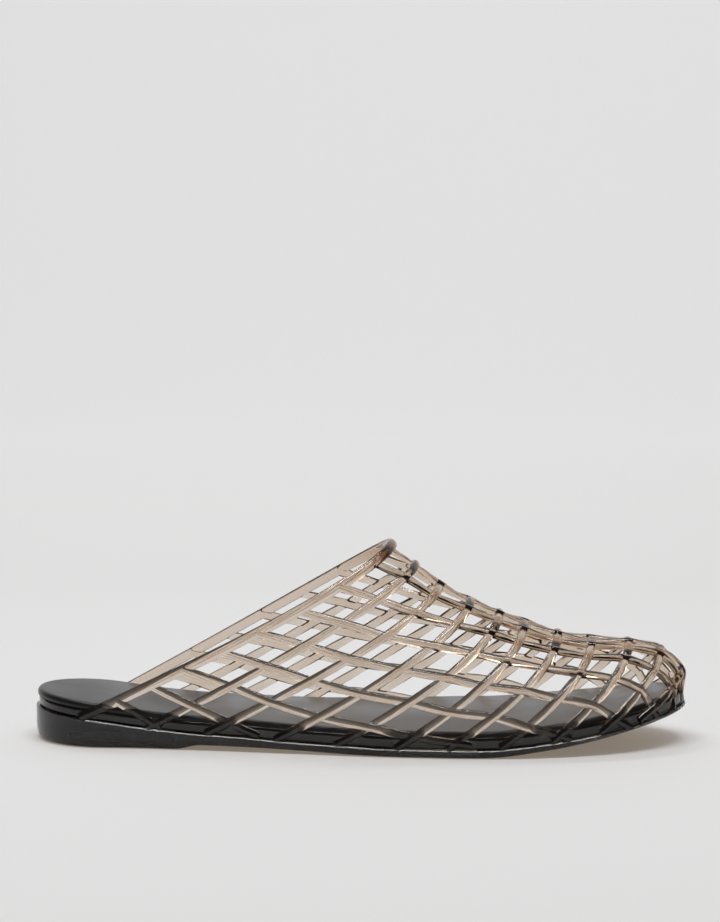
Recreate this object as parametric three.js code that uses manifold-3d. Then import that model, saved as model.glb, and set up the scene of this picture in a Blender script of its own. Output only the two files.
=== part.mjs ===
// A right-foot mule sandal of clear moulded plastic: low outsole, one-piece woven-look upper and insole.
// Millimetres, +X to the toe, +Y to the inner (medial) side, +Z up. It stands on z = 0, centred on its box.
import * as THREE from "three";
import { mergeVertices } from "three/addons/utils/BufferGeometryUtils.js";
import Module from "manifold-3d";

// Driving sizes of the last and the sole
const LENGTH = 262;
const BALL_WIDTH = 93;
const HEEL_WIDTH = 61;
const INSTEP_HEIGHT = 81;
const HEEL_HEIGHT = 13.7;
const SOLE_EDGE = 3.4;
const ARCH_RISE = 1.8;
const TOE_SPRING = 13.6;
const TOE_SWING = 5;
const TREAD_ROUND = 3;
const HEEL_ROUND = 30;
const TOE_ROUND = 78;

// Driving sizes of the upper
const STRIP_WIDTH = 3.8;
const COLLAR_WIDTH = 4.4;
const WALL = 2;
const WEAVE_RISE = 0.5;
const STRIP_PITCH = 17;
const RAND_HEIGHT = 4.8;
const HEEL_RAND_HEIGHT = 3.6;
const RAND_WALL = 1.8;
const RAND_RELIEF = 0.6;
const WALL_SETBACK = 0.6;

// On the medial side the collar's foot stands forward and the collar bows less
const MEDIAL_ADVANCE = 6;
const MEDIAL_BOW = 0.1;

// Driving sizes of the insole and the fit
const INSOLE_RISE = 6.8;
const INSOLE_ROUND = 1.8;
const GAP = 0.3;

const STATIONS = 72;
const SWING_START = 0.6;

// Half widths along the length: a share of the way from the heel's half width to the ball's
const PLAN = [
  { at: 0.0, lateral: 0.0, medial: 0.0 },
  { at: 0.15, lateral: 0.02, medial: 0.0 },
  { at: 0.25, lateral: 0.16, medial: -0.02 },
  { at: 0.41, lateral: 0.53, medial: 0.18 },
  { at: 0.56, lateral: 0.89, medial: 0.68 },
  { at: 0.66, lateral: 1.0, medial: 0.96 },
  { at: 0.74, lateral: 0.98, medial: 1.02 },
  { at: 1.0, lateral: 0.95, medial: 0.95 },
];

// Side view of the sole along the length: shares of the heel height, the arch, the toe spring and the edge
const SIDE = [
  { at: 0.0, heel: 1.0, arch: 0.0, spring: 0.0, edge: 1.0 },
  { at: 0.1, heel: 0.75, arch: 0.0, spring: 0.0, edge: 1.0 },
  { at: 0.175, heel: 0.5, arch: 0.0, spring: 0.0, edge: 1.0 },
  { at: 0.225, heel: 0.38, arch: 0.0, spring: 0.0, edge: 1.0 },
  { at: 0.265, heel: 0.31, arch: 1.0, spring: 0.0, edge: 1.0 },
  { at: 0.33, heel: 0.24, arch: 0.93, spring: 0.0, edge: 1.0 },
  { at: 0.41, heel: 0.12, arch: 0.65, spring: 0.0, edge: 1.0 },
  { at: 0.5, heel: 0.04, arch: 0.15, spring: 0.0, edge: 1.0 },
  { at: 0.56, heel: 0.0, arch: 0.0, spring: 0.0, edge: 1.0 },
  { at: 0.69, heel: 0.0, arch: 0.0, spring: 0.0, edge: 1.0 },
  { at: 0.79, heel: 0.0, arch: 0.0, spring: 0.2, edge: 0.85 },
  { at: 0.87, heel: 0.0, arch: 0.0, spring: 0.46, edge: 0.65 },
  { at: 0.93, heel: 0.0, arch: 0.0, spring: 0.7, edge: 0.6 },
  { at: 1.0, heel: 0.0, arch: 0.0, spring: 1.0, edge: 0.6 },
];

// Ribs that rise from the sole over the foot, collar first; the last row is where the toe meets the rand.
// base and crown: shares of the wall's length. rise: crown height, a share of the instep height.
// lean: how far a rib bows forward. shoulder: how square the section is.
// pitch and spread: steps between the strips, shares of the strip pitch.
const RIBS = [
  { base: 0.09, crown: 0.55, rise: 0.973, lean: 1.15, shoulder: 3.1, pitch: 1.25, spread: -0.027 },
  { base: 0.194, crown: 0.585, rise: 0.868, lean: 1.15, shoulder: 2.9, pitch: 1.0, spread: 0.001 },
  { base: 0.285, crown: 0.624, rise: 0.766, lean: 1.2, shoulder: 2.8, pitch: 0.82, spread: 0.024 },
  { base: 0.392, crown: 0.671, rise: 0.685, lean: 1.25, shoulder: 2.8, pitch: 0.68, spread: 0.041 },
  { base: 0.486, crown: 0.716, rise: 0.621, lean: 1.3, shoulder: 2.9, pitch: 0.61, spread: 0.044 },
  { base: 0.577, crown: 0.755, rise: 0.572, lean: 1.35, shoulder: 3.0, pitch: 0.59, spread: 0.041 },
  { base: 0.653, crown: 0.807, rise: 0.519, lean: 1.35, shoulder: 3.2, pitch: 0.54, spread: 0.044 },
  { base: 0.732, crown: 0.859, rise: 0.489, lean: 1.35, shoulder: 3.4, pitch: 0.49, spread: 0.055 },
  { base: 0.809, crown: 0.917, rise: 0.481, lean: 1.35, shoulder: 3.4, pitch: 0.44, spread: 0.067 },
  { base: 0.882, crown: 0.966, rise: 0.448, lean: 1.35, shoulder: 3.2, pitch: 0.41, spread: 0.072 },
  { base: 0.942, crown: 0.998, rise: 0.347, lean: 1.35, shoulder: 3.0, pitch: 0.18, spread: 0.13 },
  { base: 0.971, crown: 0.9975, rise: 0.205, lean: 1.35, shoulder: 2.6, pitch: 0.2, spread: 0.12 },
];
const LAST_RIB = RIBS.length - 2;
const CREST = 9;
const LAST_STRIP = 2 * CREST - 1;

// Smooth curve through one column of a table, with no overshoot between its rows
function through(rows, column) {
  const x = rows.map((row) => row.at);
  const y = rows.map((row) => row[column]);
  const rise = y.slice(1).map((value, i) => (value - y[i]) / (x[i + 1] - x[i]));
  const slope = y.map((_, i) => {
    if (i === 0) return rise[0];
    if (i === y.length - 1) return rise[i - 1];
    return rise[i - 1] * rise[i] <= 0 ? 0 : (2 * rise[i - 1] * rise[i]) / (rise[i - 1] + rise[i]);
  });
  const last = x.length - 1;
  return (here) => {
    if (here <= x[0]) return y[0] + slope[0] * (here - x[0]);
    if (here >= x[last]) return y[last] + slope[last] * (here - x[last]);
    let i = 0;
    while (here > x[i + 1]) i++;
    const span = x[i + 1] - x[i];
    const t = (here - x[i]) / span;
    const straight = y[i] + (y[i + 1] - y[i]) * t * t * (3 - 2 * t);
    return straight + span * t * (1 - t) * (slope[i] * (1 - t) - slope[i + 1] * t);
  };
}

const plan = { lateral: through(PLAN, "lateral"), medial: through(PLAN, "medial") };
const side = {
  heel: through(SIDE, "heel"),
  arch: through(SIDE, "arch"),
  spring: through(SIDE, "spring"),
  edge: through(SIDE, "edge"),
};
const ribColumn = Object.fromEntries(
  Object.keys(RIBS[0]).map((column) => [column, through(RIBS.map((row, at) => ({ ...row, at })), column)]),
);

// Plan of the shoe: its middle line swings to the medial side at the toe, and the ends are elliptical
function middle(x) {
  const forward = Math.max(0, x / LENGTH - SWING_START) / (1 - SWING_START);
  return TOE_SWING * forward * forward;
}

function halfWidth(x, isMedial, inset) {
  const share = (isMedial ? plan.medial : plan.lateral)(x / LENGTH);
  const full = HEEL_WIDTH / 2 + ((BALL_WIDTH - HEEL_WIDTH) / 2) * share - inset;
  const atHeel = Math.min(1, Math.max(0, 1 - (x - inset) / (HEEL_ROUND - inset)));
  const atToe = Math.min(1, Math.max(0, (x - LENGTH + TOE_ROUND) / (TOE_ROUND - inset)));
  return full * Math.sqrt(1 - atHeel * atHeel) * Math.sqrt(1 - atToe * atToe);
}

// Heights of the tread and of the line where the upper meets the outsole
const treadHeight = (x) => ARCH_RISE * side.arch(x / LENGTH) + TOE_SPRING * side.spring(x / LENGTH);
const partingHeight = (x) =>
  SOLE_EDGE * side.edge(x / LENGTH) +
  (HEEL_HEIGHT - SOLE_EDGE) * side.heel(x / LENGTH) +
  TOE_SPRING * side.spring(x / LENGTH);

// Closed loop round the plan, from the heel along the lateral side to the toe and back
function outline(inset, height) {
  return Array.from({ length: STATIONS }, (_, k) => {
    const turn = (2 * Math.PI * k) / STATIONS;
    const x = inset + ((LENGTH - 2 * inset) * (1 - Math.cos(turn))) / 2;
    const isMedial = k > STATIONS / 2;
    const y = middle(x) + (isMedial ? 1 : -1) * halfWidth(x, isMedial, inset);
    return new THREE.Vector3(x, y, height(x));
  });
}

// Gathers triangles and turns them into a geometry with shared corners
class Skin {
  constructor() {
    this.corners = [];
  }
  triangle(a, b, c) {
    for (const p of [a, b, c]) this.corners.push(p.x, p.y, p.z);
  }
  quad(a, b, c, d) {
    this.triangle(a, b, c);
    this.triangle(a, c, d);
  }
  band(lower, upper) {
    lower.forEach((_, k) => {
      const next = (k + 1) % lower.length;
      this.quad(lower[k], lower[next], upper[next], upper[k]);
    });
  }
  cap(loop, facesUp) {
    const n = loop.length;
    for (let k = 0; k < n / 2; k++) {
      const corners = [loop[k], loop[k + 1], loop[(n - k - 1) % n], loop[(n - k) % n]];
      if (!facesUp) corners.reverse();
      const [a, b, c, d] = corners;
      if (k === 0) facesUp ? this.triangle(a, b, c) : this.triangle(b, c, d);
      else if (k === n / 2 - 1) facesUp ? this.triangle(a, b, d) : this.triangle(a, c, d);
      else this.quad(a, b, c, d);
    }
  }
  geometry() {
    const open = new THREE.BufferGeometry();
    open.setAttribute("position", new THREE.Float32BufferAttribute(this.corners, 3));
    return mergeVertices(open, 1e-4);
  }
}

function stack(loops) {
  const skin = new Skin();
  skin.cap(loops[0], false);
  for (let i = 0; i < loops.length - 1; i++) skin.band(loops[i], loops[i + 1]);
  skin.cap(loops[loops.length - 1], true);
  return skin.geometry();
}

function ring(loops) {
  const skin = new Skin();
  loops.forEach((loop, i) => skin.band(loop, loops[(i + 1) % loops.length]));
  return skin.geometry();
}

// Outsole: heel block, arch, tread and toe spring, with a rounded tread edge and a small step under the upper
const OUTSOLE_EDGE = [
  { inset: 1.0, up: 0.0 },
  { inset: 0.3, up: 0.12 },
  { inset: 0.0, up: 0.4 },
  { inset: 0.0, up: 0.85 },
  { inset: 0.23, up: 1.0 },
];

function outsole() {
  const top = (x) => partingHeight(x) - GAP / 2;
  return stack(
    OUTSOLE_EDGE.map((row) =>
      outline(row.inset * TREAD_ROUND, (x) => treadHeight(x) + (top(x) - treadHeight(x)) * row.up),
    ),
  );
}

// The rand's outer face lies behind the strips that run down over it
const RAND_INSET = WALL_SETBACK + RAND_RELIEF;

// Insole: a pad that fills the rand, with a rounded upper edge
const INSOLE_EDGE = [
  { inset: 0.5, down: 1.0 },
  { inset: 0.0, down: 0.8 },
  { inset: 0.0, down: 0.27 },
  { inset: 0.3, down: 0.1 },
  { inset: 1.0, down: 0.0 },
];

function insole() {
  const start = RAND_INSET + RAND_WALL + GAP;
  const thickness = INSOLE_RISE - GAP / 2;
  return stack(
    INSOLE_EDGE.map((row) =>
      outline(start + row.inset * INSOLE_ROUND, (x) => partingHeight(x) + INSOLE_RISE - thickness * row.down),
    ),
  );
}

// Rand: the ring of the upper that stands on the outsole, lower round the heel
const RAND_SECTION = [
  { inset: 0.15, up: 0.0 },
  { inset: 0.0, up: 0.25 },
  { inset: 0.0, up: 0.7 },
  { inset: 0.3, up: 1.0 },
  { inset: 0.8, up: 1.0 },
  { inset: 1.0, up: 0.85 },
  { inset: 1.0, up: 0.0 },
];

function rand() {
  const foot = (x) => partingHeight(x) + GAP / 2;
  const height = (x) => RAND_HEIGHT + (HEEL_RAND_HEIGHT - RAND_HEIGHT) * side.heel(x / LENGTH);
  return ring(
    RAND_SECTION.map((row) =>
      outline(RAND_INSET + RAND_WALL * row.inset, (x) => foot(x) + (height(x) - GAP / 2) * row.up),
    ),
  );
}

// Middle of the upper's wall: a point on rib u at a share of its height, on either side of the foot
const WALL_INSET = WALL_SETBACK + WALL / 2;

// Height over the sole at which the strips end, inside the rand
const FOOT_START = 2.4;

function ribPoint(u, share, isMedial) {
  const alongWall = (share) => WALL_INSET + (LENGTH - 2 * WALL_INSET) * share;
  const medialCollar = isMedial ? Math.max(0, 1 - u) : 0;
  const base = alongWall(ribColumn.base(u)) + MEDIAL_ADVANCE * medialCollar;
  const crown = alongWall(ribColumn.crown(u));
  const low = partingHeight(base) + FOOT_START;
  const high = ribColumn.rise(u) * INSTEP_HEIGHT;
  const lean = ribColumn.lean(u) - MEDIAL_BOW * medialCollar;
  const x = base + (crown - base) * (1 - (1 - share) ** lean);
  const reach = Math.sqrt(1 - share ** ribColumn.shoulder(u));
  const y = middle(x) + (isMedial ? 1 : -1) * halfWidth(x, isMedial, WALL_INSET) * reach;
  return new THREE.Vector3(x, y, low + (high - low) * share);
}

const RIB_STEPS = 40;
const ribCache = new Map();

// Points down one half of a rib, from its crown to its foot, with the length walked to each
function ribPath(u, isMedial) {
  const key = `${u.toFixed(5)} ${isMedial}`;
  if (ribCache.has(key)) return ribCache.get(key);
  const points = [];
  const walked = [];
  for (let k = RIB_STEPS; k >= 0; k--) {
    const point = ribPoint(u, Math.sin((k / RIB_STEPS) * (Math.PI / 2)), isMedial);
    walked.push(points.length ? walked.at(-1) + point.distanceTo(points.at(-1)) : 0);
    points.push(point);
  }
  ribCache.set(key, { points, walked });
  return { points, walked };
}

function stepsDown(u, steps) {
  return STRIP_PITCH * (ribColumn.pitch(u) * steps + ribColumn.spread(u) * steps ** 2);
}

// Point of the wall's middle at rib u and strip v
function wallPoint(u, v) {
  const { points, walked } = ribPath(u, v > CREST);
  const distance = stepsDown(u, Math.abs(v - CREST));
  let k = 0;
  while (k < walked.length - 2 && distance > walked[k + 1]) k++;
  const share = (distance - walked[k]) / (walked[k + 1] - walked[k]);
  return points[k].clone().lerp(points[k + 1], share);
}

// Slopes of the wall along the strips (u) and along the ribs (v), and its outward normal
const PROBE = 0.03;

function wallFrame(u, v) {
  const along = wallPoint(u + PROBE, v).sub(wallPoint(u - PROBE, v)).divideScalar(2 * PROBE);
  const across = wallPoint(u, v + PROBE).sub(wallPoint(u, v - PROBE)).divideScalar(2 * PROBE);
  const normal = along.clone().cross(across);
  const area = normal.length();
  return { along, across, normal: normal.normalize(), area };
}

const ribHalf = (i) => (i === 0 ? COLLAR_WIDTH : STRIP_WIDTH) / 2;
const halfInU = (i, v) => {
  const frame = wallFrame(i, v);
  return (ribHalf(i) * frame.across.length()) / frame.area;
};
const halfInV = (u, j) => {
  const frame = wallFrame(u, j);
  return ((STRIP_WIDTH / 2) * frame.along.length()) / frame.area;
};

function lifted(u, v, lift) {
  return wallPoint(u, v).addScaledVector(wallFrame(u, v).normal, lift);
}

// Heights of the strips' faces from the middle of the wall
const INNER = -WALL / 2;
const FOOT_INNER = INNER / 3;
const EDGE = 0;
const CROWN = WALL / 2;
const OVER = CROWN + WEAVE_RISE;
const UNDER = CROWN - WEAVE_RISE;

// The v at which rib i reaches its foot, on the lateral or the medial side
function footOfRib(u, isMedial) {
  const length = ribPath(u, isMedial).walked.at(-1);
  const pitch = ribColumn.pitch(u);
  const spread = ribColumn.spread(u);
  const wanted = length / STRIP_PITCH;
  const root = Math.sqrt(pitch ** 2 + 4 * spread * wanted);
  const steps = (2 * wanted) / (pitch + root);
  return CREST + (isMedial ? steps : -steps);
}

// A crossing is cut where it would lie down in the rand
const CROSSING_CLEAR = RAND_HEIGHT + STRIP_WIDTH / 3;

function hasCrossing(i, j) {
  if (i < 0 || i > LAST_RIB || j < 1 || j > LAST_STRIP) return false;
  const isMedial = j > CREST;
  const left = ribPath(i, isMedial).walked.at(-1) - stepsDown(i, Math.abs(j - CREST));
  return left > CROSSING_CLEAR;
}

// One side of a crossing: three points over the strip's top and two on its inner face
function rowAcrossRib(i, v, half, top) {
  return {
    top: [-1, 0, 1].map((k) => lifted(i + k * half, v, k === 0 ? top : EDGE)),
    inner: [-1, 1].map((k) => lifted(i + k * half, v, INNER)),
  };
}

function rowAcrossStrip(u, j, half, top, inner = INNER) {
  return {
    top: [-1, 0, 1].map((k) => lifted(u, j + k * half, k === 0 ? top : EDGE)),
    inner: [-1, 1].map((k) => lifted(u, j + k * half, inner)),
  };
}

// Skin of a strip between two rows across it, seen with the rows' right side on the right of the way
function arm(skin, from, to, flip) {
  const quad = (a, b, c, d) => (flip ? skin.quad(d, c, b, a) : skin.quad(a, b, c, d));
  quad(from.top[0], from.top[1], to.top[1], to.top[0]);
  quad(from.top[1], from.top[2], to.top[2], to.top[1]);
  quad(from.inner[0], from.top[0], to.top[0], to.inner[0]);
  quad(from.top[2], from.inner[1], to.inner[1], to.top[2]);
  quad(from.inner[1], from.inner[0], to.inner[0], to.inner[1]);
}

function close(skin, row, flip) {
  const triangle = (a, b, c) => (flip ? skin.triangle(a, b, c) : skin.triangle(c, b, a));
  triangle(row.top[0], row.inner[0], row.top[1]);
  triangle(row.inner[0], row.inner[1], row.top[1]);
  triangle(row.inner[1], row.top[2], row.top[1]);
}

// A crossing's patch and the four rows that its arms leave from
function crossing(i, j) {
  const half = { u: halfInU(i, j), v: halfInV(i, j) };
  const ribIsOver = i === 0 || (i + j) % 2 === 0;
  const lift = (a, b) => {
    if (a === 0 && b === 0) return OVER;
    if (a === 0) return ribIsOver ? OVER : UNDER;
    if (b === 0) return ribIsOver ? UNDER : OVER;
    return EDGE;
  };
  const sides = [-1, 0, 1];
  const grid = sides.map((a) => sides.map((b) => lifted(i + a * half.u, j + b * half.v, lift(a, b))));
  const inner = [-1, 1].map((a) => [-1, 1].map((b) => lifted(i + a * half.u, j + b * half.v, INNER)));
  return {
    half,
    grid,
    inner,
    down: { top: [grid[0][0], grid[1][0], grid[2][0]], inner: [inner[0][0], inner[1][0]] },
    up: { top: [grid[0][2], grid[1][2], grid[2][2]], inner: [inner[0][1], inner[1][1]] },
    back: { top: grid[0], inner: inner[0] },
    front: { top: grid[2], inner: inner[1] },
  };
}

// The net over the foot, with each strip that runs into the rand ended there
function net() {
  const skin = new Skin();
  const crossings = new Map();
  const at = (i, j) => crossings.get(`${i} ${j}`);
  for (let i = 0; i <= LAST_RIB; i++) {
    for (let j = 1; j <= LAST_STRIP; j++) {
      if (hasCrossing(i, j)) crossings.set(`${i} ${j}`, crossing(i, j));
    }
  }
  for (const [key, here] of crossings) {
    const [i, j] = key.split(" ").map(Number);
    for (const a of [0, 1]) {
      for (const b of [0, 1]) {
        skin.quad(here.grid[a][b], here.grid[a + 1][b], here.grid[a + 1][b + 1], here.grid[a][b + 1]);
      }
    }
    skin.quad(here.inner[0][0], here.inner[0][1], here.inner[1][1], here.inner[1][0]);
    const above = at(i, j + 1);
    if (above) {
      const v = (j + here.half.v + j + 1 - above.half.v) / 2;
      const middleRow = rowAcrossRib(i, v, halfInU(i, v), CROWN);
      arm(skin, here.up, middleRow, false);
      arm(skin, middleRow, above.down, false);
    } else {
      ribFoot(skin, i, here.up, j + here.half.v, true);
    }
    if (!at(i, j - 1)) ribFoot(skin, i, here.down, j - here.half.v, false);
    const ahead = at(i + 1, j);
    if (ahead) {
      const u = (i + here.half.u + i + 1 - ahead.half.u) / 2;
      const middleRow = rowAcrossStrip(u, j, halfInV(u, j), CROWN);
      arm(skin, here.front, middleRow, true);
      arm(skin, middleRow, ahead.back, true);
    } else {
      stripFoot(skin, j, here.front, i + here.half.u);
    }
    if (!at(i - 1, j)) close(skin, here.back, false);
  }
  return skin.geometry();
}

// The end of a rib, from its lowest crossing down the rand's outer face
function ribFoot(skin, i, start, v, isMedial) {
  const end = footOfRib(i, isMedial);
  const half = (at) => halfInU(i, at);
  const halfway = rowAcrossRib(i, (v + end) / 2, half((v + end) / 2), CROWN);
  const last = rowAcrossRib(i, end, half(end), CROWN);
  arm(skin, start, halfway, !isMedial);
  arm(skin, halfway, last, !isMedial);
  close(skin, last, !isMedial);
}

// The end of a strip, from its last crossing forward into the rand
const HALVINGS = 30;

function stripFoot(skin, j, start, u) {
  const isMedial = j > CREST;
  const depth = (at) => (isMedial ? footOfRib(at, true) - j : j - footOfRib(at, false));
  let low = u;
  let high = LAST_RIB + 1;
  if (depth(high) < 0) {
    for (let k = 0; k < HALVINGS; k++) {
      const half = (low + high) / 2;
      if (depth(half) > 0) low = half;
      else high = half;
    }
  }
  const end = high;
  const halfway = rowAcrossStrip((u + end) / 2, j, halfInV((u + end) / 2, j), CROWN, FOOT_INNER);
  const last = rowAcrossStrip(end, j, halfInV(end, j), CROWN, FOOT_INNER);
  arm(skin, start, halfway, true);
  arm(skin, halfway, last, true);
  close(skin, last, true);
}

// Joining and cutting
const wasm = await Module();
wasm.setup();

function toManifold(geometry) {
  const index = geometry.index.array;
  const position = geometry.attributes.position.array;
  const vertProperties = new Float32Array(position);
  const triVerts = new Uint32Array(index);
  return new wasm.Manifold(new wasm.Mesh({ numProp: 3, vertProperties, triVerts }));
}

function toGeometry(solid) {
  const mesh = solid.getMesh();
  const geometry = new THREE.BufferGeometry();
  geometry.setAttribute("position", new THREE.Float32BufferAttribute(mesh.vertProperties, 3));
  geometry.setIndex([...mesh.triVerts]);
  return geometry;
}

// Upper: the rand and the net, moulded as one
function upper() {
  return toGeometry(toManifold(rand()).add(toManifold(net())));
}

function named(name, geometry, material) {
  geometry.computeVertexNormals();
  const mesh = new THREE.Mesh(geometry, material);
  mesh.name = name;
  return mesh;
}

const glossy = (color, roughness, opacity) =>
  new THREE.MeshStandardMaterial({ color, roughness, metalness: 0, transparent: opacity < 1, opacity });
const SMOKE = glossy("#cbbcae", 0.2, 0.6);
const DARK_SMOKE = glossy("#2a2a2e", 0.2, 0.9);
const GLOSS_BLACK = glossy("#232426", 0.3, 1);

const group = new THREE.Group();
group.add(named("outsole", outsole(), DARK_SMOKE));
group.add(named("upper", upper(), SMOKE));
group.add(named("insole", insole(), GLOSS_BLACK));
const box = new THREE.Box3().setFromObject(group);
group.position.set(-(box.min.x + box.max.x) / 2, -(box.min.y + box.max.y) / 2, -box.min.z);

export default group;
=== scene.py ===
"""A right-foot mule sandal of clear smoke plastic.

It has a low outsole, a woven-look upper with a collar band, and a glossy insole.
"""

import math

import bpy
import numpy as np
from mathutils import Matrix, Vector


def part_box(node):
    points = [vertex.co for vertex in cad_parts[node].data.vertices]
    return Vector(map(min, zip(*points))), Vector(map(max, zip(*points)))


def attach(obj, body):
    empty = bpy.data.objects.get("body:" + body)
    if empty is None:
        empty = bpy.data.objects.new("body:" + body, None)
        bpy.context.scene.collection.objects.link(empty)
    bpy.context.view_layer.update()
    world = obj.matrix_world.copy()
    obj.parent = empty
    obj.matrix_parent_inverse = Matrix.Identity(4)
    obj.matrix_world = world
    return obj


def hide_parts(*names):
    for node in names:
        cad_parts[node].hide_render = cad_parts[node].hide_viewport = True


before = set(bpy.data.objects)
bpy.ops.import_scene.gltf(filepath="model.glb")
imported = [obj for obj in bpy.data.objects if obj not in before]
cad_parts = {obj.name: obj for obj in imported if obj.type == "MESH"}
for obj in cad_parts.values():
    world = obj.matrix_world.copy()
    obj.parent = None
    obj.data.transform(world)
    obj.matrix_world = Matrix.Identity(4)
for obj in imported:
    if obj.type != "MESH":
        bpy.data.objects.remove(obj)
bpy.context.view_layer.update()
MM = 0.001

# Driving sizes of the last and the sole, in millimetres, as the part has them
LENGTH = 262
BALL_WIDTH = 93
HEEL_WIDTH = 61
INSTEP_HEIGHT = 81
HEEL_HEIGHT = 13.7
SOLE_EDGE = 3.4
ARCH_RISE = 1.8
TOE_SPRING = 13.6
TOE_SWING = 5
SWING_START = 0.6
HEEL_ROUND = 30
TOE_ROUND = 78

# Driving sizes of the upper and the insole
STRIP_WIDTH = 3.8
COLLAR_WIDTH = 4.4
WALL = 2
WEAVE_RISE = 0.65
STRIP_PITCH = 17
MEDIAL_ADVANCE = 6
MEDIAL_BOW = 0.1
RAND_HEIGHT = 4.8
HEEL_RAND_HEIGHT = 3.6
RAND_WALL = 1.8
RAND_RELIEF = 0.6
WALL_SETBACK = 0.6
INSOLE_RISE = 6.8
INSOLE_ROUND = 1.8
GAP = 0.3
RAND_INSET = WALL_SETBACK + RAND_RELIEF
WALL_INSET = WALL_SETBACK + WALL / 2
FOOT_START = 2.4

# Stations round an outline: as many as the part has, and the finer number that this scene draws
PART_STATIONS = 72
STATIONS = 360

# Half widths along the length: a share of the way from the heel's half width to the ball's
PLAN = {
    "at": (0.0, 0.15, 0.25, 0.41, 0.56, 0.66, 0.74, 1.0),
    "lateral": (0.0, 0.02, 0.16, 0.53, 0.89, 1.0, 0.98, 0.95),
    "medial": (0.0, 0.0, -0.02, 0.18, 0.68, 0.96, 1.02, 0.95),
}

# Side view of the sole along the length: shares of the heel height, the arch, the toe spring and the edge
SIDE = {
    "at": (0.0, 0.1, 0.175, 0.225, 0.265, 0.33, 0.41, 0.5, 0.56, 0.69, 0.79, 0.87, 0.93, 1.0),
    "heel": (1.0, 0.75, 0.5, 0.38, 0.31, 0.24, 0.12, 0.04, 0.0, 0.0, 0.0, 0.0, 0.0, 0.0),
    "arch": (0.0, 0.0, 0.0, 0.0, 1.0, 0.93, 0.65, 0.15, 0.0, 0.0, 0.0, 0.0, 0.0, 0.0),
    "spring": (0.0, 0.0, 0.0, 0.0, 0.0, 0.0, 0.0, 0.0, 0.0, 0.0, 0.2, 0.46, 0.7, 1.0),
    "edge": (1.0, 1.0, 1.0, 1.0, 1.0, 1.0, 1.0, 1.0, 1.0, 1.0, 0.85, 0.65, 0.6, 0.6),
}

# Ribs that rise from the sole over the foot, collar first, with the toe line last
RIBS = {
    "at": tuple(range(12)),
    "base": (0.09, 0.194, 0.285, 0.392, 0.486, 0.577, 0.653, 0.732, 0.809, 0.882, 0.942, 0.971),
    "crown": (0.55, 0.585, 0.624, 0.671, 0.716, 0.755, 0.807, 0.859, 0.917, 0.966, 0.998, 0.9975),
    "rise": (0.973, 0.868, 0.766, 0.685, 0.621, 0.572, 0.519, 0.489, 0.481, 0.448, 0.347, 0.205),
    "lean": (1.15, 1.15, 1.2, 1.25, 1.3, 1.35, 1.35, 1.35, 1.35, 1.35, 1.35, 1.35),
    "shoulder": (3.1, 2.9, 2.8, 2.8, 2.9, 3.0, 3.2, 3.4, 3.4, 3.2, 3.0, 2.6),
    "pitch": (1.25, 1.0, 0.82, 0.68, 0.61, 0.59, 0.54, 0.49, 0.44, 0.41, 0.18, 0.2),
    "spread": (-0.027, 0.001, 0.024, 0.041, 0.044, 0.041, 0.044, 0.055, 0.067, 0.072, 0.13, 0.12),
}
LAST_RIB = 10
CREST = 9
LAST_STRIP = 2 * CREST - 1


def through(table, column):
    """Smooth curve through one column of a table, with no overshoot between its rows."""
    x = np.array(table["at"], float)
    y = np.array(table[column], float)
    rise = np.diff(y) / np.diff(x)
    slope = np.empty(len(y))
    slope[0], slope[-1] = rise[0], rise[-1]
    product = rise[:-1] * rise[1:]
    total = np.where(product > 0, rise[:-1] + rise[1:], 1)
    slope[1:-1] = np.where(product > 0, 2 * product / total, 0)

    def value(here):
        here = np.asarray(here, float)
        i = np.clip(np.searchsorted(x, here, side="right") - 1, 0, len(x) - 2)
        span = x[i + 1] - x[i]
        t = (here - x[i]) / span
        inside = (y[i] + (y[i + 1] - y[i]) * t * t * (3 - 2 * t)
                  + span * t * (1 - t) * (slope[i] * (1 - t) - slope[i + 1] * t))
        before = y[0] + slope[0] * (here - x[0])
        after = y[-1] + slope[-1] * (here - x[-1])
        return np.where(here < x[0], before, np.where(here > x[-1], after, inside))

    return value


plan = {name: through(PLAN, name) for name in ("lateral", "medial")}
side = {name: through(SIDE, name) for name in ("heel", "arch", "spring", "edge")}
rib_shape = {name: through(RIBS, name) for name in RIBS if name != "at"}


def middle(x):
    """The sole's middle line, which swings to the medial side towards the toe."""
    forward = np.maximum(0, x / LENGTH - SWING_START) / (1 - SWING_START)
    return TOE_SWING * forward ** 2


def half_width(x, is_medial, inset):
    """From the middle line to the edge, rounded off at the heel and the toe."""
    share = plan["medial" if is_medial else "lateral"](x / LENGTH)
    full = HEEL_WIDTH / 2 + (BALL_WIDTH - HEEL_WIDTH) / 2 * share - inset
    at_heel = np.clip(1 - (x - inset) / (HEEL_ROUND - inset), 0, 1)
    at_toe = np.clip((x - LENGTH + TOE_ROUND) / (TOE_ROUND - inset), 0, 1)
    return full * np.sqrt(1 - at_heel ** 2) * np.sqrt(1 - at_toe ** 2)


def tread_height(x):
    """The underside's height over the floor."""
    return ARCH_RISE * side["arch"](x / LENGTH) + TOE_SPRING * side["spring"](x / LENGTH)


def parting_height(x):
    """Height of the line where the upper's rand stands on the outsole."""
    share = x / LENGTH
    return (SOLE_EDGE * side["edge"](share) + (HEEL_HEIGHT - SOLE_EDGE) * side["heel"](share)
            + TOE_SPRING * side["spring"](share))


BULGE_REACH = 0.3


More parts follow.
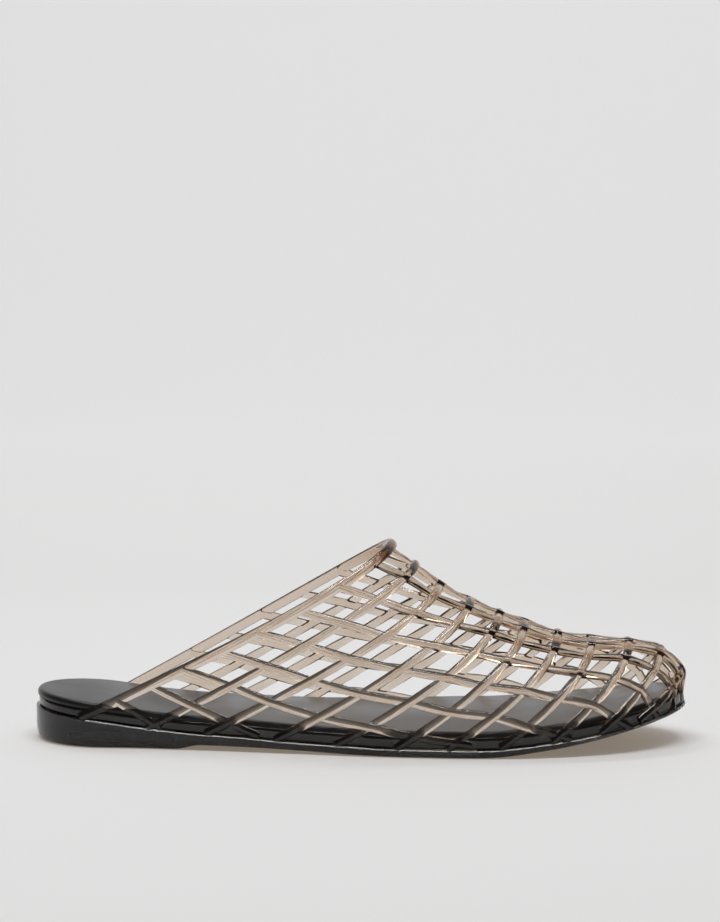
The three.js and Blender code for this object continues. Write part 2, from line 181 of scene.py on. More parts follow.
def outline(inset, height, stations=STATIONS, heel_bulge=0.0):
    """Closed loop round the plan, from the heel along the lateral side to the toe and back.

    The heel bulge moves the line outwards at the heel, and dies out at a share BULGE_REACH of the length.
    """
    turn = 2 * math.pi * np.arange(stations) / stations
    share = (1 - np.cos(turn)) / 2
    drawn = inset - heel_bulge * np.sqrt(np.clip(1 - share / BULGE_REACH, 0, 1))
    x = drawn + (LENGTH - 2 * inset) * share
    lateral = middle(x) - half_width(x, False, drawn)
    medial = middle(x) + half_width(x, True, drawn)
    y = np.where(np.arange(stations) > stations // 2, medial, lateral)
    return np.stack([x, y, height(x)], axis=1)


def smooth_mesh(name, points, faces):
    """Makes a mesh of points in millimetres, placed where the part's frame has its shoe."""
    mesh = bpy.data.meshes.new(name)
    mesh.from_pydata([tuple(p) for p in (np.asarray(points) + SHOE_PLACE) * MM], [], faces)
    mesh.shade_smooth()
    return mesh


def add_object(name, mesh, material):
    piece = bpy.data.objects.new(name, mesh)
    bpy.context.scene.collection.objects.link(piece)
    mesh.materials.append(material)
    return piece


# The shoe's own zero lies behind the heel; the part is centred on its box
outsole_low = np.array(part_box("outsole")[0]) / MM
SHOE_PLACE = outsole_low - outline(0, tread_height, PART_STATIONS).min(axis=0)


def loops_to_faces(loops, is_ring=False):
    """Quads between closed loops laid one over another.

    A ring joins its last loop to its first. A stack is closed by quads across its first and last loop.
    """
    count = len(loops[0])
    rows = len(loops)
    faces = []
    for i in range(rows if is_ring else rows - 1):
        a, b = i * count, ((i + 1) % rows) * count
        faces += [(a + k, a + (k + 1) % count, b + (k + 1) % count, b + k) for k in range(count)]
    if not is_ring:
        for start, faces_up in ((0, False), ((rows - 1) * count, True)):
            for k in range(count // 2):
                around = [k, k + 1, (count - k - 1) % count, (count - k) % count]
                corners = list(dict.fromkeys(start + c for c in around))
                faces.append(tuple(corners if faces_up else corners[::-1]))
    return faces


# Wall of the upper: a point at rib u and strip v, and its frame
RIB_STEPS = 160
PROBE = 0.03
HALVINGS = 24
rib_paths = {}


def rib_path(u, is_medial):
    """Points down one half of a rib, from its crown to its foot, with the length walked to each."""
    key = (round(u, 5), is_medial)
    if key in rib_paths:
        return rib_paths[key]
    share = np.sin(np.linspace(1, 0, RIB_STEPS + 1) * math.pi / 2)
    wall_length = LENGTH - 2 * WALL_INSET
    medial_collar = max(0, 1 - u) if is_medial else 0
    base = WALL_INSET + wall_length * rib_shape["base"](u) + MEDIAL_ADVANCE * medial_collar
    crown = WALL_INSET + wall_length * rib_shape["crown"](u)
    low = parting_height(base) + FOOT_START
    high = rib_shape["rise"](u) * INSTEP_HEIGHT
    lean = rib_shape["lean"](u) - MEDIAL_BOW * medial_collar
    x = base + (crown - base) * (1 - (1 - share) ** lean)
    reach = np.sqrt(np.maximum(0, 1 - share ** rib_shape["shoulder"](u)))
    y = middle(x) + (1 if is_medial else -1) * half_width(x, is_medial, WALL_INSET) * reach
    points = np.stack([x, y, low + (high - low) * share], axis=1)
    walked = np.concatenate([[0], np.cumsum(np.linalg.norm(np.diff(points, axis=0), axis=1))])
    rib_paths[key] = (points, walked)
    return rib_paths[key]


def steps_down(u, steps):
    """Length down a rib from its crown to the strip so many steps away."""
    return STRIP_PITCH * (rib_shape["pitch"](u) * steps + rib_shape["spread"](u) * steps ** 2)


def wall_point(u, v):
    """The wall's middle at rib u, counted to the toe, and strip v, counted to the medial side."""
    points, walked = rib_path(u, v > CREST)
    distance = float(steps_down(u, abs(v - CREST)))
    k = int(np.clip(np.searchsorted(walked, distance) - 1, 0, len(walked) - 2))
    share = (distance - walked[k]) / (walked[k + 1] - walked[k])
    return points[k] + (points[k + 1] - points[k]) * share


def wall_frame(u, v):
    """Directions of the strips and the ribs there, and the normal that points outwards."""
    along = (wall_point(u + PROBE, v) - wall_point(u - PROBE, v)) / (2 * PROBE)
    across = (wall_point(u, v + PROBE) - wall_point(u, v - PROBE)) / (2 * PROBE)
    normal = np.cross(along, across)
    return along, across, normal / np.linalg.norm(normal)


def foot_of_rib(u, is_medial):
    """The v at which a rib reaches its foot inside the rand."""
    length = rib_path(u, is_medial)[1][-1]
    pitch, spread = float(rib_shape["pitch"](u)), float(rib_shape["spread"](u))
    wanted = length / STRIP_PITCH
    steps = 2 * wanted / (pitch + math.sqrt(pitch ** 2 + 4 * spread * wanted))
    return CREST + (steps if is_medial else -steps)


def end_of_strip(j):
    """The u at which a strip runs down into the rand, by halving."""
    is_medial = j > CREST

    def room(u):
        return (foot_of_rib(u, is_medial) - j) if is_medial else (j - foot_of_rib(u, is_medial))

    low, high = 0.0, LAST_RIB + 1.0
    if room(high) >= 0:
        return high
    for _ in range(HALVINGS):
        half = (low + high) / 2
        low, high = (half, high) if room(half) > 0 else (low, half)
    return high


# Paths of the woven ribs and strips, with what the sweep needs at each point
CELL_STEPS = 9
HUMP_POWER = 1.8
UNDER_DIP = 0.9
UNDER_NARROW = 0.15
COLLAR_WEAVE = 0.35
FOOT_DROP = 2.1
FOOT_WEAVE = 0.5
FOOT_BLEND = 0.4
SHORTEST_STRIP = 0.6
LAST_CELL = 0.4
CREST_DEPTH = 3.2
CREST_SPREAD = 1.2
RIB, STRIP, RAND = 0, 1, 2
VECTOR_VALUES = ("across", "outward")
POINT_VALUES = VECTOR_VALUES + ("half", "weave", "kind", "smoke_and_painted_shade", "deep")


def through_knots(knots, k, t):
    """Point and direction of the smooth curve through the knots, at a share t of the way on from knot k."""
    b, c = knots[k], knots[k + 1]
    a = knots[k - 1] if k else 2 * b - c
    d = knots[k + 2] if k + 2 < len(knots) else 2 * c - b
    place = b + t / 2 * (c - a + t * (2 * a - 5 * b + 4 * c - d + t * (3 * b - a - 3 * c + d)))
    way = (c - a) / 2 + t * (2 * a - 5 * b + 4 * c - d) + t * t * 1.5 * (3 * b - a - 3 * c + d)
    return place, way


def humps_of(wave):
    """Turns an even wave into short humps and dips at the crossings."""
    hump = np.abs(wave) ** HUMP_POWER
    return np.where(wave > 0, hump, -UNDER_DIP * hump)


def crest_share(v):
    """1 at the crest, where the collar is a deep bead that strips meet lower, and near 0 down the sides."""
    return np.exp(-((v - CREST) / CREST_SPREAD) ** 2)


def woven_paths():
    """Points, edges and values of every rib and strip.

    The weave is 1 where a strip passes over and -1 where it passes under. The darkening of a foot in the
    rand is painted shade, and deep is how many times deeper than elsewhere the inner face lies.
    """
    points = []
    edges = []
    values = {name: [] for name in POINT_VALUES}

    def run_on(cell, before):
        """One more cell that carries a foot on down over the rand, no further than twice the drop."""
        way = cell[0] - before[0]
        drop = min(FOOT_DROP / max(-way[2], 0.01), 2 * FOOT_DROP / np.linalg.norm(way))
        return (cell[0] + way * drop,) + tuple(cell[1:])

    def add_path(cells, kind, half):
        cells = cells + [run_on(cells[-1], cells[-2])]
        if kind == RIB:
            cells = [run_on(cells[0], cells[1])] + cells
        start = len(points)
        for place, way, normal, weave, smoke_and_painted_shade, deep in cells:
            sideways = np.cross(normal, way)
            points.append(place)
            values["across"].append(sideways / np.linalg.norm(sideways))
            values["outward"].append(normal)
            values["half"].append(half * (1 + UNDER_NARROW * min(0, weave)) * MM)
            values["weave"].append(weave)
            values["kind"].append(kind)
            values["smoke_and_painted_shade"].append(smoke_and_painted_shade)
            values["deep"].append(deep)
        edges.extend((k, k + 1) for k in range(start, len(points) - 1))

    for i in range(LAST_RIB + 1):
        low, high = foot_of_rib(i, False), foot_of_rib(i, True)
        count = round((high - low) * CELL_STEPS)
        at = low + (high - low) * np.arange(count + 1) / count
        weave = np.full(count + 1, COLLAR_WEAVE) if i == 0 else humps_of(np.cos(math.pi * (i + at)))
        # Near a foot the weave eases out, and the same share paints shade on the surface there
        near_foot = np.clip(1 - np.minimum(at - low, high - at) / FOOT_BLEND, 0, 1)
        weave = weave + (FOOT_WEAVE - weave) * near_foot
        deep = 1 + CREST_DEPTH / (WALL / 2) * crest_share(at) if i == 0 else np.ones(count + 1)
        cells = []
        for v, over, smoke_and_painted_shade, depth in zip(at, weave, near_foot, deep):
            _, way, normal = wall_frame(i, v)
            cells.append((wall_point(i, v), way, normal, over, smoke_and_painted_shade, depth))
        add_path(cells, RIB, (COLLAR_WIDTH if i == 0 else STRIP_WIDTH) / 2)
    for j in range(1, LAST_STRIP + 1):
        end = end_of_strip(j)
        if end < SHORTEST_STRIP:
            continue
        knots = [float(k) for k in range(math.ceil(end - LAST_CELL))] + [end]
        places = np.array([wall_point(u, j) for u in knots])
        normals = np.array([wall_frame(u, j)[2] for u in knots])
        places[0] -= normals[0] * CREST_DEPTH * crest_share(j)
        cells = []
        for k in range(len(knots) - 1):
            is_last = k == len(knots) - 2
            for t in np.arange(CELL_STEPS + is_last) / CELL_STEPS:
                place, way = through_knots(places, k, t)
                normal = through_knots(normals, k, t)[0]
                u = knots[k] + (knots[k + 1] - knots[k]) * t
                # Near a foot the weave eases out, and the same share paints shade on the surface there
                near_foot = max(0, 1 - (end - u) / FOOT_BLEND)
                weave = humps_of(-math.cos(math.pi * (u + j)))
                weave += (FOOT_WEAVE - weave) * near_foot
                cells.append((place, way, normal / np.linalg.norm(normal), weave, near_foot, 1.0))
        add_path(cells, STRIP, STRIP_WIDTH / 2)
    return points, edges, values


# Rand: the ring that the net grows out of, with a rounded square for its section
RAND_SIDES = 16
RAND_SQUARENESS = 4


def superellipse(count, power):
    """Points round a rounded square of half width 1, as pairs."""
    turn = 2 * math.pi * (np.arange(count) + 0.5) / count
    c, s = np.cos(turn), np.sin(turn)
    return np.sign(c) * np.abs(c) ** (2 / power), np.sign(s) * np.abs(s) ** (2 / power)


def rand_loops():
    """Loops along the rand, one for each side of its section."""
    def height(x, up):
        low = parting_height(x) + GAP / 2
        tall = RAND_HEIGHT + (HEEL_RAND_HEIGHT - RAND_HEIGHT) * side["heel"](x / LENGTH) - GAP / 2
        return low + tall * (1 + up) / 2

    loops = []
    for across, up in zip(*superellipse(RAND_SIDES, RAND_SQUARENESS)):
        inset = RAND_INSET + RAND_WALL * (1 - across) / 2
        loops.append(outline(inset, lambda x: height(x, up)))
    return loops


def light(code):
    """Turns a colour written as screen values into light values."""
    channels = [int(code[i:i + 2], 16) / 255 for i in (1, 3, 5)]
    return [c / 12.92 if c <= 0.04045 else ((c + 0.055) / 1.055) ** 2.4 for c in channels] + [1.0]


def add_node(tree, kind, inputs=(), **settings):
    """Adds one node, sets its properties, and fills or links its inputs by name or number."""
    node = tree.nodes.new(kind)
    for name, value in settings.items():
        setattr(node, name, value)
    for key, value in dict(inputs).items():
        if isinstance(value, bpy.types.NodeSocket):
            tree.links.new(value, node.inputs[key])
        else:
            node.inputs[key].default_value = value
    return node


def new_material(name):
    material = bpy.data.materials.new(name)
    material.use_nodes = True
    material.node_tree.nodes.clear()
    return material, material.node_tree


# Relief of the moulded faces, in millimetres: waves from the flow of the plastic, and the tread's fine ribs
FLOW_PITCH = 9
FLOW_DEPTH = 0.012
TREAD_PITCH = 3
TREAD_DEPTH = 0.25
TREAD_FADE_FROM, TREAD_FADE_TO = -0.9, -0.97
WAVE_PERIOD = math.pi / 10


def flow_bump(tree, place):
    """Faint waves that the plastic keeps from its flow into the mould."""
    flow = add_node(tree, "ShaderNodeTexNoise", {
        "Vector": place, "Scale": 1 / (FLOW_PITCH * MM), "Detail": 2})
    return add_node(tree, "ShaderNodeBump", {
        "Height": flow.outputs["Fac"], "Strength": 1, "Distance": FLOW_DEPTH * MM})


def tread_bump(tree, place):
    """Fine ribs across the underside; a wave texture of scale 1 has the period WAVE_PERIOD.

    They fade out where the normal turns away from straight down, between the two limits of its upward part.
    """
    ribs = add_node(tree, "ShaderNodeTexWave", {"Vector": place, "Scale": WAVE_PERIOD / (TREAD_PITCH * MM)})
    facing = add_node(tree, "ShaderNodeNewGeometry").outputs["Normal"]
    up = add_node(tree, "ShaderNodeSeparateXYZ", {0: facing}).outputs["Z"]
    below = add_node(tree, "ShaderNodeMapRange", {
        "Value": up, "From Min": TREAD_FADE_FROM, "From Max": TREAD_FADE_TO}).outputs["Result"]
    height = add_node(tree, "ShaderNodeMath", {0: ribs.outputs["Fac"], 1: below}, operation="MULTIPLY")
    return add_node(tree, "ShaderNodeBump", {
        "Height": height.outputs[0], "Strength": 1, "Distance": TREAD_DEPTH * MM})


# Painted shade: the darker surface colour of the rand and of a foot that runs down into it
FOOT_PAINTED_SHADE = "#5E5955"


def clear_plastic(name, tint, density, relief):
    """Clear PVC, injection moulded: wet gloss, sharp bright edges, and a tint that grows with its thickness.

    A point value paints shade: it darkens the surface on the rand and where a foot runs down into it.
    """
    material, tree = new_material(name)
    place = add_node(tree, "ShaderNodeTexCoord").outputs["Object"]
    # Painted shade: the surface colour turns darker on the rand and the feet, by the point value
    smoke_and_painted_shade = add_node(tree, "ShaderNodeAttribute", attribute_name="smoke_and_painted_shade").outputs["Fac"]
    painted_shade_mix = add_node(tree, "ShaderNodeMix", {
        0: smoke_and_painted_shade, 6: light("#FFFFFF"), 7: light(FOOT_PAINTED_SHADE)}, data_type="RGBA")
    surface = add_node(tree, "ShaderNodeBsdfPrincipled", {
        "Base Color": painted_shade_mix.outputs[2], "Transmission Weight": 1, "Roughness": 0.05, "IOR": 1.53,
        "Normal": relief(tree, place).outputs["Normal"]})
    inside = add_node(tree, "ShaderNodeVolumeAbsorption", {"Color": light(tint), "Density": density})
    add_node(tree, "ShaderNodeOutputMaterial", {"Surface": surface.outputs[0], "Volume": inside.outputs[0]})
    return material


# The coat's grain and shine, in millimetres; it is dull at the heel and lively from the arch on, with
# painted shade that darkens its black at the heel and painted light that lifts it from the arch on
GRAIN_PITCH = 1.1
GRAIN_DEPTH = 0.05
SHINE_PATCH = 30
DULL_AT, LIVELY_AT = -130, -30
HEEL_SHADED_BLACK, FRONT_LIT_BLACK = "#0E0F11", "#222427"


def coated_insole(name):
    """Polyurethane coat over a foam pad: black, with painted shade at the heel and painted light at the
    front, a broad soft shine that fades to the heel, a fine grain.
    """
    material, tree = new_material(name)
    place = add_node(tree, "ShaderNodeTexCoord").outputs["Object"]
    grain = add_node(tree, "ShaderNodeTexVoronoi", {
        "Vector": place, "Scale": 1 / (GRAIN_PITCH * MM)}, feature="SMOOTH_F1")
    bump = add_node(tree, "ShaderNodeBump", {
        "Height": grain.outputs["Distance"], "Strength": 0.35, "Distance": GRAIN_DEPTH * MM})
    patches = add_node(tree, "ShaderNodeTexNoise", {
        "Vector": place, "Scale": 1 / (SHINE_PATCH * MM), "Detail": 3})
    shine = add_node(tree, "ShaderNodeMapRange", {
        "Value": patches.outputs["Fac"], "From Min": 0.3, "From Max": 0.7, "To Min": 0.3, "To Max": 0.4})
    length = add_node(tree, "ShaderNodeSeparateXYZ", {0: place}).outputs["X"]
    forward = add_node(tree, "ShaderNodeMapRange", {
        "Value": length, "From Min": DULL_AT * MM, "From Max": LIVELY_AT * MM}).outputs["Result"]
    coat = add_node(tree, "ShaderNodeMapRange", {"Value": forward, "To Min": 0.05, "To Max": 0.4})
    # Painted shade and light: the base colour runs from a darker black at the heel to a lighter one from the
    # arch on
    colour = add_node(tree, "ShaderNodeMix", {
        0: forward, 6: light(HEEL_SHADED_BLACK), 7: light(FRONT_LIT_BLACK)}, data_type="RGBA")
    surface = add_node(tree, "ShaderNodeBsdfPrincipled", {
        "Base Color": colour.outputs[2], "Roughness": shine.outputs["Result"], "IOR": 1.5,
        "Specular IOR Level": 0.34, "Coat Weight": coat.outputs["Result"], "Coat Roughness": 0.25,
        "Normal": bump.outputs["Normal"]})
    add_node(tree, "ShaderNodeOutputMaterial", {"Surface": surface.outputs[0]})
    return material


UPPER_PLASTIC = clear_plastic("clear smoke PVC", "#D8BB92", 330, flow_bump)
SOLE_PLASTIC = clear_plastic("dark clear smoke PVC", "#8C8070", 700, tread_bump)
INSOLE_COAT = coated_insole("black polyurethane coat")


# Woven upper: a tree sweeps a half-round section along the paths and joins them with the rand
CROWN = 1.35
SECTION_SIDES = 20
FLARE_FROM, FLARE_TO = 0.35, -0.1

# What the tree is given: three lengths, a flare and a flatness as shares, and an angle in radians
SECTION = {
    "Crown": CROWN * MM,
    "Weave rise": WEAVE_RISE * MM,
    "Inner face": WALL / 2 * MM,
    "Inner flare": 0.85,
    "Flatness": 0.6,
    "Crease angle": 0.6,
}


def woven_tree():
    """Geometry Nodes that turn the upper's paths and rand into one closed plastic body."""
    tree = bpy.data.node_groups.new("woven upper", "GeometryNodeTree")
    sockets = tree.interface
    sockets.new_socket("Geometry", in_out="OUTPUT", socket_type="NodeSocketGeometry")
    sockets.new_socket("Paths and rand", in_out="INPUT", socket_type="NodeSocketGeometry")
    for name, default in SECTION.items():
        sockets.new_socket(name, in_out="INPUT", socket_type="NodeSocketFloat").default_value = default
    sides = sockets.new_socket("Section sides", in_out="INPUT", socket_type="NodeSocketInt")
    sides.default_value = SECTION_SIDES
    sockets.new_socket("Plastic", in_out="INPUT", socket_type="NodeSocketMaterial")
    given = add_node(tree, "NodeGroupInput").outputs

    def maths(operation, *values):
        return add_node(tree, "ShaderNodeMath", dict(enumerate(values)), operation=operation).outputs[0]

    def vectors(operation, *values, **named):
        inputs = {**dict(enumerate(values)), **named}
        return add_node(tree, "ShaderNodeVectorMath", inputs, operation=operation).outputs[0]

    def kept(name, data_type="FLOAT"):
        named = add_node(tree, "GeometryNodeInputNamedAttribute", {"Name": name}, data_type=data_type)
        return named.outputs["Attribute"]

    circle = add_node(tree, "GeometryNodeCurvePrimitiveCircle", {
        "Resolution": given["Section sides"], "Radius": 1})
    round_place = add_node(tree, "GeometryNodeInputPosition").outputs[0]
    section = add_node(tree, "GeometryNodeStoreNamedAttribute", {
        "Geometry": circle.outputs["Curve"], "Name": "section", "Value": round_place},
        data_type="FLOAT_VECTOR", domain="POINT")
    in_section = add_node(tree, "ShaderNodeSeparateXYZ", {0: kept("section", "FLOAT_VECTOR")}).outputs
    crown = maths("ADD", given["Crown"], maths("MULTIPLY", given["Weave rise"], kept("weave")))
    is_inner = maths("LESS_THAN", in_section["Y"], -0.001)
    power = maths("SUBTRACT", 1, maths("MULTIPLY", is_inner, given["Flatness"]))
    over = maths("MULTIPLY", maths("MAXIMUM", in_section["Y"], 0), crown)
    depth = maths("POWER", maths("MAXIMUM", maths("MULTIPLY", in_section["Y"], -1), 0), power)
    below = maths("MULTIPLY", maths("MULTIPLY", depth, given["Inner face"]), kept("deep"))
    width = maths("POWER", maths("ABSOLUTE", in_section["X"]), power)
    reach = maths("MULTIPLY", maths("SIGN", in_section["X"]), width)
    flare = add_node(tree, "ShaderNodeMapRange", {
        "Value": in_section["Y"], "From Min": FLARE_FROM, "From Max": FLARE_TO,
        "To Min": 1, "To Max": given["Inner flare"]})
    sideways = maths("MULTIPLY", maths("MULTIPLY", reach, kept("half")), flare.outputs["Result"])
    lift = vectors("SCALE", kept("outward", "FLOAT_VECTOR"), Scale=maths("SUBTRACT", over, below))
    shift = vectors("SCALE", kept("across", "FLOAT_VECTOR"), Scale=sideways)
    swept_place = vectors("ADD", kept("way", "FLOAT_VECTOR"), vectors("ADD", lift, shift))

    solids = []
    for kind in (RIB, STRIP):
        chosen = add_node(tree, "FunctionNodeCompare", {"A": kept("kind"), "B": kind},
                          data_type="FLOAT", operation="EQUAL").outputs["Result"]
        alone = add_node(tree, "GeometryNodeSeparateGeometry", {
            "Geometry": given["Paths and rand"], "Selection": chosen}, domain="POINT").outputs["Selection"]
        curve = add_node(tree, "GeometryNodeMeshToCurve", {"Mesh": alone}).outputs["Curve"]
        tube = add_node(tree, "GeometryNodeCurveToMesh", {
            "Curve": curve, "Profile Curve": section.outputs["Geometry"], "Fill Caps": True}).outputs["Mesh"]
        solids.append(add_node(tree, "GeometryNodeSetPosition", {
            "Geometry": tube, "Position": swept_place}).outputs["Geometry"])
    is_rand = add_node(tree, "FunctionNodeCompare", {"A": kept("kind"), "B": RAND},
                       data_type="FLOAT", operation="EQUAL").outputs["Result"]
    solids.append(add_node(tree, "GeometryNodeSeparateGeometry", {
        "Geometry": given["Paths and rand"], "Selection": is_rand}, domain="POINT").outputs["Selection"])
    union = add_node(tree, "GeometryNodeMeshBoolean", operation="UNION", solver="MANIFOLD")
    for solid in solids:
        tree.links.new(solid, union.inputs["Mesh 2"])
    smooth = add_node(tree, "GeometryNodeSetShadeSmooth", {"Geometry": union.outputs["Mesh"]}, domain="FACE")
    angle = add_node(tree, "GeometryNodeInputMeshEdgeAngle").outputs["Unsigned Angle"]
    creased = add_node(tree, "FunctionNodeCompare", {"A": angle, "B": given["Crease angle"]},
                       data_type="FLOAT", operation="GREATER_THAN").outputs["Result"]
    sharp = add_node(tree, "GeometryNodeSetShadeSmooth", {
        "Geometry": smooth.outputs[0], "Selection": creased, "Shade Smooth": False}, domain="EDGE")
    real = add_node(tree, "GeometryNodeRealizeInstances", {"Geometry": sharp.outputs[0]})
    made = add_node(tree, "GeometryNodeSetMaterial", {
        "Geometry": real.outputs[0], "Material": given["Plastic"]})
    add_node(tree, "NodeGroupOutput", {0: made.outputs[0]})
    return tree


def applied(name, source, tree, inputs):
    """Runs a tree on an object with its named inputs and returns the plain mesh object that it makes."""
    modifier = source.modifiers.new("tree", "NODES")
    modifier.node_group = tree
    for item in tree.interface.items_tree:
        if item.in_out == "INPUT" and item.name in inputs:
            modifier[item.identifier] = inputs[item.name]
    graph = bpy.context.evaluated_depsgraph_get()
    mesh = bpy.data.meshes.new_from_object(source.evaluated_get(graph), depsgraph=graph)
    source.modifiers.clear()
    bpy.data.objects.remove(source)
    mesh.name = name
    made = bpy.data.objects.new(name, mesh)
    bpy.context.scene.collection.objects.link(made)
    return made


# What the rand's points hold for the values that the paths use
RAND_VALUES = {
    "across": (0, 0, 0),
    "outward": (0, 0, 0),
    "half": 0.0,
    "weave": 0.0,
    "kind": RAND,
    # The rand carries the full painted shade
    "smoke_and_painted_shade": 1.0,
    "deep": 1.0,
}


def woven_upper():
    """Lays the paths and the rand in one mesh with their values, and lets the tree make the upper of it."""
    path_points, path_edges, values = woven_paths()
    loops = rand_loops()
    faces = loops_to_faces(loops, is_ring=True)
    start = len(path_points)
    points = np.concatenate([np.array(path_points), np.concatenate(loops)])
    points = (points + SHOE_PLACE) * MM
    rand_faces = [tuple(start + c for c in face) for face in faces]
    mesh = bpy.data.meshes.new("paths")
    mesh.from_pydata([tuple(p) for p in points], path_edges, rand_faces)
    rand_count = len(points) - start
    for name, column in values.items():
        is_vector = name in VECTOR_VALUES
        data = np.array(column + [RAND_VALUES[name]] * rand_count, np.float32)
        attribute = mesh.attributes.new(name, "FLOAT_VECTOR" if is_vector else "FLOAT", "POINT")
        attribute.data.foreach_set("vector" if is_vector else "value", data.ravel())
    way = mesh.attributes.new("way", "FLOAT_VECTOR", "POINT")
    way.data.foreach_set("vector", np.array(points, np.float32).ravel())
    source = bpy.data.objects.new("paths", mesh)
    bpy.context.scene.collection.objects.link(source)
    inputs = {**SECTION, "Section sides": SECTION_SIDES, "Plastic": UPPER_PLASTIC}
    return applied("woven_upper", source, woven_tree(), inputs)


# Outsole: loops up its rounded tread edge, as insets and shares of the side's height
TREAD_EDGE = ((3.0, 0.0), (1.8, 0.015), (0.9, 0.08), (0.35, 0.2), (0.06, 0.36), (0.0, 0.5))

# Loops over its top edge, with a sharp bevel under the upper, as insets and drops below the parting line
TOP_EDGE = ((0.0, 1.2), (0.0, 0.36), (0.31, 0.05), (0.45, 0.0), (1.6, 0.0))


def make_outsole():
    def top(x):
        return parting_height(x) - GAP / 2

    loops = []
    for inset, up in TREAD_EDGE:
        loops.append(outline(inset, lambda x: tread_height(x) + (top(x) - tread_height(x)) * up))
    for inset, drop in TOP_EDGE:
        loops.append(outline(inset, lambda x: top(x) - drop))
    mesh = smooth_mesh("clear_outsole", np.concatenate(loops), loops_to_faces(loops))
    bevel_rows = (len(TREAD_EDGE) + 1, len(TREAD_EDGE) + 2)
    for edge in mesh.edges:
        rows = {vertex // len(loops[0]) for vertex in edge.vertices}
        edge.use_edge_sharp = len(rows) == 1 and rows.pop() in bevel_rows
    return add_object("clear_outsole", mesh, SOLE_PLASTIC)


# Insole: a pad with rounded edges; above its lip, the heel swells out over the low rand
INSOLE_LIP = 2.7
HEEL_BULGE = 2.6

# Shares of the thickness, and the angle at which the rounding of the top starts, in radians
LIP_STEP = 0.03
ROUND_DEPTH = 0.27
ROUND_START = 0.3
ROUND_STEPS = 6


def make_insole():
    """Stacks loops, each with an inset in roundings, a depth in thicknesses, and whether it swells."""
    start = RAND_INSET + RAND_WALL + GAP
    thickness = INSOLE_RISE - GAP / 2
    lip = INSOLE_LIP / thickness
    edge = [(0.5, 1.0, False), (0.15, 0.95, False), (0.0, 0.85, False), (0.0, lip + LIP_STEP, False)]
    edge += [(0.0, lip, True), (0.0, ROUND_DEPTH, True)]
    for turned in np.linspace(ROUND_START, math.pi / 2, ROUND_STEPS):
        edge.append((1 - math.cos(turned), ROUND_DEPTH * (1 - math.sin(turned)), True))
    loops = []
    for inset, down, swells in edge:
        loops.append(outline(start + inset * INSOLE_ROUND,
                             lambda x: parting_height(x) + INSOLE_RISE - thickness * down,
                             heel_bulge=HEEL_BULGE if swells else 0.0))
    mesh = smooth_mesh("coated_insole", np.concatenate(loops), loops_to_faces(loops))
    return add_object("coated_insole", mesh, INSOLE_COAT)


upper = woven_upper()
outsole = make_outsole()
insole = make_insole()

for piece, node in ((upper, "upper"), (outsole, "outsole"), (insole, "insole")):
    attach(piece, "root")
    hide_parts(node)

# Floor and backdrop in one pale sweep, in metres; it glows a little, as painted light: dimmer and warmer
# near the shoe, which darkens and warms the shadow there, and brighter far behind it, which keeps the
# backdrop even
FLOOR_NEAR, FLOOR_FAR, FLOOR_SIDE = -0.5, 1.2, 3.0
SWEEP_RADIUS, SWEEP_TOP, SWEEP_STEPS = 0.8, 3.0, 24
NEAR_GLOW, FAR_GLOW = "#7E7367", "#B4B0AD"
GLOW_FROM, GLOW_TO = 0.45, 1.9


def make_sweep():
    bend = [(FLOOR_FAR + SWEEP_RADIUS * math.sin(t), SWEEP_RADIUS * (1 - math.cos(t)))
            for t in np.linspace(0, math.pi / 2, SWEEP_STEPS)]
    path = [(FLOOR_NEAR, 0.0)] + bend + [(FLOOR_FAR + SWEEP_RADIUS, SWEEP_TOP)]
    points = [(x, y, z) for y, z in path for x in (-FLOOR_SIDE, FLOOR_SIDE)]
    faces = [(2 * k, 2 * k + 1, 2 * k + 3, 2 * k + 2) for k in range(len(path) - 1)]
    mesh = bpy.data.meshes.new("pale_floor")
    mesh.from_pydata(points, [], faces)
    mesh.shade_smooth()
    material, tree = new_material("matt pale paper")
    place = add_node(tree, "ShaderNodeTexCoord").outputs["Object"]
    back = add_node(tree, "ShaderNodeSeparateXYZ", {0: place}).outputs["Y"]
    far = add_node(tree, "ShaderNodeMapRange", {"Value": back, "From Min": GLOW_FROM, "From Max": GLOW_TO})
    # Painted light: the floor's own glow, dim and warm near the shoe so the shadow under it turns warm,
    # bright far behind; the paper's faint blue offsets the warm tint on the open floor
    glow = add_node(tree, "ShaderNodeMix", {
        0: far.outputs["Result"], 6: light(NEAR_GLOW), 7: light(FAR_GLOW)}, data_type="RGBA")
    surface = add_node(tree, "ShaderNodeBsdfPrincipled", {
        "Base Color": light("#DBE1E7"), "Roughness": 0.8, "Specular IOR Level": 0.2,
        "Emission Color": glow.outputs[2], "Emission Strength": 1})
    add_node(tree, "ShaderNodeOutputMaterial", {"Surface": surface.outputs[0]})
    return add_object("pale_floor", mesh, material)


floor = make_sweep()

# Lights: a broad softbox overhead, a panel for the bright line along the sole, and a thin strip behind
SHOE_MIDDLE = (0, 0, 0.03)


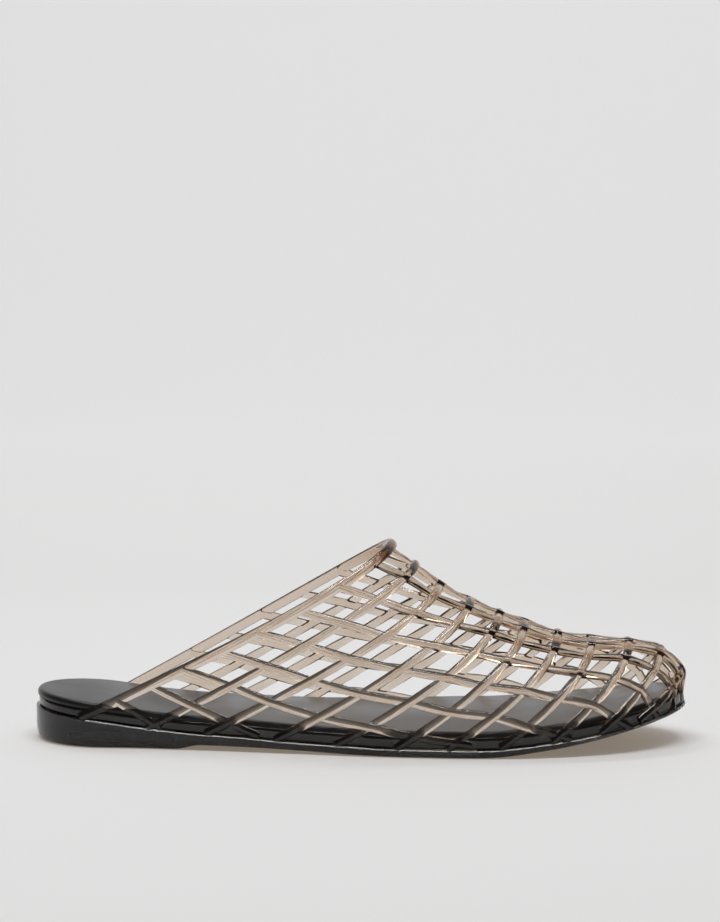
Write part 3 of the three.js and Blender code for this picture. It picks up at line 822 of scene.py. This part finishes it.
def softbox(name, place, aim, size, power):
    """A flat lamp at a place in metres, turned to its aim, with a size in metres and a power in watts."""
    data = bpy.data.lights.new(name, "AREA")
    data.shape = "RECTANGLE"
    data.size, data.size_y = size
    data.energy = power
    lamp = bpy.data.objects.new(name, data)
    bpy.context.scene.collection.objects.link(lamp)
    lamp.location = place
    direction = np.array(aim) - np.array(place)
    lamp.rotation_euler = (math.acos(-direction[2] / np.linalg.norm(direction)), 0,
                           math.atan2(direction[1], direction[0]) - math.pi / 2)


softbox("overhead softbox", (0, 0.1, 2.4), (0, 0, 0), (4.0, 3.0), 6.6)
softbox("key panel", (0, -0.27, 1.6), SHOE_MIDDLE, (1.3, 0.3), 11.6)
softbox("back strip light", (-0.3, 0.6, 1.3), SHOE_MIDDLE, (0.9, 0.08), 3.0)

world = bpy.data.worlds.new("studio")
bpy.context.scene.world = world
world.use_nodes = True
world.node_tree.nodes["Background"].inputs["Color"].default_value = light("#DEDEE0")
world.node_tree.nodes["Background"].inputs["Strength"].default_value = 0.14
bpy.context.scene.view_settings.view_transform = "Standard"

# Camera: the photograph's angle, with its frame of 720 by 922 and the shoe in the lower third
FRAME_HEIGHT_PX = 922
FOCAL_PX = 3713
SENSOR_HEIGHT = 36
TARGET_HEIGHT = 20
DISTANCE = 1.5

# Degrees that it stands round to the toe and above the shoe, and that it aims over the target
TURN, TILT, AIM_ABOVE = 3.0, 9.6, 3.5
target = (np.array([LENGTH / 2, 0, TARGET_HEIGHT]) + SHOE_PLACE) * MM
turn, tilt = math.radians(TURN), math.radians(TILT)
away = np.array([-math.sin(turn) * math.cos(tilt), math.cos(turn) * math.cos(tilt), -math.sin(tilt)])
lens = bpy.data.cameras.new("camera")
lens.sensor_fit = "VERTICAL"
lens.sensor_height = SENSOR_HEIGHT
lens.lens = FOCAL_PX * lens.sensor_height / FRAME_HEIGHT_PX
camera = bpy.data.objects.new("camera", lens)
bpy.context.scene.collection.objects.link(camera)
camera.location = target - DISTANCE * away
camera.rotation_euler = (math.radians(90 - TILT + AIM_ABOVE), 0, turn)
bpy.context.scene.camera = camera
